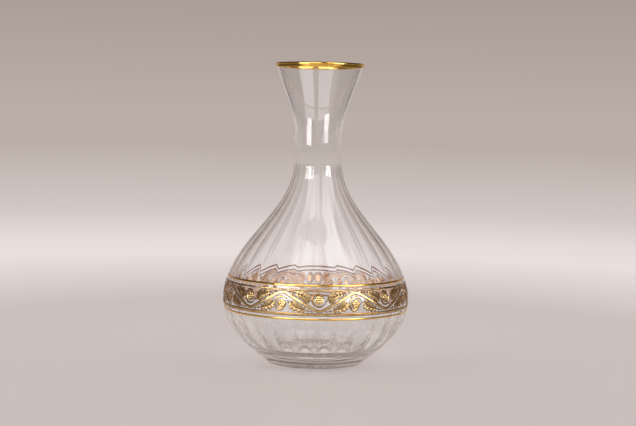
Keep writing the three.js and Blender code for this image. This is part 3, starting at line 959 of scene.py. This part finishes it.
def make_floor():
    """A large round floor, whose rings crowd towards the carafe."""
    angles = np.arange(STAGE_SPOKES) * 2 * math.pi / STAGE_SPOKES
    level = np.zeros(STAGE_SPOKES)
    vertices = [np.zeros((1, 3))]
    for ring in range(1, STAGE_RINGS + 1):
        radius = FLOOR_REACH * (ring / STAGE_RINGS) ** STAGE_CROWDING
        vertices.append(np.column_stack([radius * np.cos(angles), radius * np.sin(angles), level]))
    faces = [(0, 1 + j, 1 + (j + 1) % STAGE_SPOKES) for j in range(STAGE_SPOKES)]
    for ring in range(STAGE_RINGS - 1):
        here = 1 + ring * STAGE_SPOKES
        there = here + STAGE_SPOKES
        for j in range(STAGE_SPOKES):
            k = (j + 1) % STAGE_SPOKES
            faces.append((here + j, there + j, there + k, here + k))
    floor = new_piece("floor", np.vstack(vertices), faces, [floor_material()])


def surroundings_node(nodes, links, mirrored):
    """The colour in each direction beyond the floor: a sky with a dark ceiling, and a grey front.

    Metal and glass also see dark sides.
    """
    direction = nodes.new("ShaderNodeTexCoord")
    parts = nodes.new("ShaderNodeSeparateXYZ")
    links.new(direction.outputs["Generated"], parts.inputs["Vector"])
    above = srgb(SKY_ABOVE)
    low, high = CEILING_SINES
    stops = [(0, srgb(SKY_HORIZON)), (SKY_ABOVE_SINE, above), (low, above), (high, CEILING)]
    sky = ramp_node(nodes, links, parts.outputs["Z"], stops).outputs["Color"]
    front = soft_share_node(nodes, links, parts.outputs["Y"], FRONT_SINE, -FRONT_SINE)
    room = mixed_colour_node(nodes, links, front, sky, FRONT_GREY)
    across = math_node(nodes, links, "ABSOLUTE", parts.outputs["X"], 0.0)
    side = soft_share_node(nodes, links, across, *SIDE_SINES)
    side = math_node(nodes, links, "MULTIPLY", side, mirrored)
    return mixed_colour_node(nodes, links, side, room, SIDE_DARK)


def make_world():
    """A plain light all round, and what the camera, glass and metal see beyond the floor.

    A ray that has left a matt surface finds the plain light even through the glass, so that the table
    and the gilding behind the glass are lit as evenly as those beside it.
    """
    world = bpy.data.worlds.new("studio")
    bpy.context.scene.world = world
    world.use_nodes = True
    world.cycles.sampling_method = "AUTOMATIC"
    nodes, links = world.node_tree.nodes, world.node_tree.links
    plain = nodes["Background"]
    plain.inputs["Color"].default_value = (1, 1, 1, 1)
    plain.inputs["Strength"].default_value = PLAIN_LIGHT
    path = nodes.new("ShaderNodeLightPath").outputs
    mirrored = mirrored_node(nodes, links, path)
    seen = nodes.new("ShaderNodeBackground")
    seen.inputs["Strength"].default_value = 1.0
    links.new(surroundings_node(nodes, links, mirrored), seen.inputs["Color"])
    any_seen = math_node(nodes, links, "MAXIMUM", path["Is Camera Ray"], mirrored)
    no_matt_surface = math_node(nodes, links, "LESS_THAN", path["Diffuse Depth"], 0.5)
    mix = nodes.new("ShaderNodeMixShader")
    links.new(math_node(nodes, links, "MULTIPLY", any_seen, no_matt_surface), mix.inputs["Fac"])
    links.new(plain.outputs["Background"], mix.inputs[1])
    links.new(seen.outputs["Background"], mix.inputs[2])
    links.new(mix.outputs["Shader"], nodes["World Output"].inputs["Surface"])


def new_lamp(name, kind, direction):
    """A lamp that shines against a direction, and its settings."""
    data = bpy.data.lights.new(name, kind)
    lamp = bpy.data.objects.new(name, data)
    bpy.context.scene.collection.objects.link(lamp)
    lamp.rotation_mode = "QUATERNION"
    lamp.rotation_quaternion = (-direction).to_track_quat("-Z", "Y")
    return lamp, data


def towards(azimuth, elevation):
    """The direction from the carafe at an angle round it from the front, and at one above the table."""
    level = math.cos(elevation)
    return Vector((math.sin(azimuth) * level, -math.cos(azimuth) * level, math.sin(elevation)))


def upright_lamp(name, azimuths, elevations, radiance):
    """An upright rectangular lamp that fills two spans of directions as the carafe sees it."""
    left, right = (math.radians(angle) for angle in azimuths)
    low, high = (LAMP_DISTANCE * math.tan(math.radians(angle)) for angle in elevations)
    direction = towards((left + right) / 2, 0)
    lamp, data = new_lamp(name, "AREA", direction)
    data.shape = "RECTANGLE"
    data.size = 2 * LAMP_DISTANCE * math.tan((right - left) / 2)
    data.size_y = high - low
    data.energy = radiance * math.pi * data.size * data.size_y
    lamp.location = LAMP_DISTANCE * direction + Vector((0, 0, LAMP_AIM + (low + high) / 2))
    lamp.visible_camera = False
    lamp.visible_diffuse = False


def soft_sun(name, azimuth):
    """Broad even light from one direction, which shapes and shades but doesn't mirror."""
    lamp, data = new_lamp(name, "SUN", towards(azimuth, SUN_ELEVATION))
    data.energy = SUN_STRENGTH
    data.angle = SUN_SPREAD
    data.cycles.use_multiple_importance_sampling = False
    lamp.visible_glossy = False
    lamp.visible_transmission = False


def make_lamps():
    """Two tall soft windows, a small bright lamp below each, and light without mirror images."""
    upright_lamp("left_softbox", *LEFT_SOFTBOX, SOFTBOX_RADIANCE)
    upright_lamp("right_softbox", *RIGHT_SOFTBOX, SOFTBOX_RADIANCE)
    upright_lamp("left_lamp", *LEFT_LAMP, SMALL_LAMP_RADIANCE)
    upright_lamp("right_lamp", *RIGHT_LAMP, SMALL_LAMP_RADIANCE)
    soft_sun("left_fill", -SUN_AZIMUTH)
    soft_sun("right_fill", SUN_AZIMUTH)


def make_camera():
    """The camera, at the photograph's place."""
    data = bpy.data.cameras.new("camera")
    data.lens = CAMERA_LENS
    camera = bpy.data.objects.new("camera", data)
    bpy.context.scene.collection.objects.link(camera)
    camera.location = (0, -CAMERA_DISTANCE, CAMERA_HEIGHT)
    view = Vector((AIM_RIGHT, 0, AIM_HEIGHT)) - camera.location
    camera.rotation_mode = "QUATERNION"
    camera.rotation_quaternion = view.to_track_quat("-Z", "Y") @ Quaternion((0, 0, 1), CAMERA_ROLL)
    bpy.context.scene.camera = camera


# Assembly

def dress(piece, slot, *nodes):
    """Puts a piece in its nodes' place."""
    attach(piece, "root")
    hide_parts(*nodes)


def make_carafe():
    """The vessel, the lip's gilding, the lines and borders, and the frieze between them."""
    bright = gold("bright_gold", BRIGHT_GOLD, BRIGHT_GOLD_DEEP, BRIGHT_GLOSS, BRIGHT_GRAIN)
    frieze = (FRIEZE_GOLD, FRIEZE_GOLD_DEEP, FRIEZE_GLOSS, FRIEZE_GRAIN, FRIEZE_GOLD_EDGES)
    fired = gold("frieze_gold", *frieze)
    underside = gold_underside()

    vertices, faces = vessel_mesh()
    dress(new_piece("glass_vessel", vertices, faces, [clear_glass()]), "clear_glass", "vessel")
    dress(lip_gilding(bright), "bright_gold", "lip_gilding")
    looks = [bright, underside]
    dress(gold_line("gold_line_low", lower_line, looks), "bright_gold", "lower_line")
    dress(gold_line("gold_line_high", upper_line, looks), "bright_gold", "upper_line")

    looks = [fired, underside]
    low = gold_border("gold_border_low", lower_border, LOWER_BORDER_WIDTH, looks)
    dress(low, "frieze_gold", "lower_border")
    high = gold_border("gold_border_high", upper_border, UPPER_BORDER_WIDTH, looks)
    dress(high, "frieze_gold", "upper_border")
    relief = Relief()
    add_vine(relief)
    dress(relief.piece("gold_vine", looks), "frieze_gold", "vine")
    for k in range(scroll_count):
        scroll = f"{'low' if k % 2 else 'high'}_scroll_{k // 2 + 1}"
        relief = Relief()
        add_scroll(relief, k)
        dress(relief.piece(f"gold_{scroll}", looks), "frieze_gold", scroll)
        for side in ("behind", "after"):
            relief = Relief()
            add_leaf(relief, k, side == "after")
            node = f"leaf_{side}_{scroll}"
            dress(relief.piece(f"gold_{node}", looks), "frieze_gold", node)


def set_up_render():
    """Plain display colours, and light that may take long ways through the glass."""
    scene = bpy.context.scene
    scene.view_settings.view_transform = "Standard"
    scene.cycles.max_bounces = LIGHT_BOUNCES
    scene.cycles.transmission_bounces = LIGHT_BOUNCES
    scene.cycles.glossy_bounces = LIGHT_BOUNCES
    scene.cycles.transparent_max_bounces = TRANSPARENT_BOUNCES
    scene.cycles.caustics_reflective = True
    scene.cycles.caustics_refractive = True


make_carafe()
make_floor()
make_world()
make_lamps()
make_camera()
set_up_render()
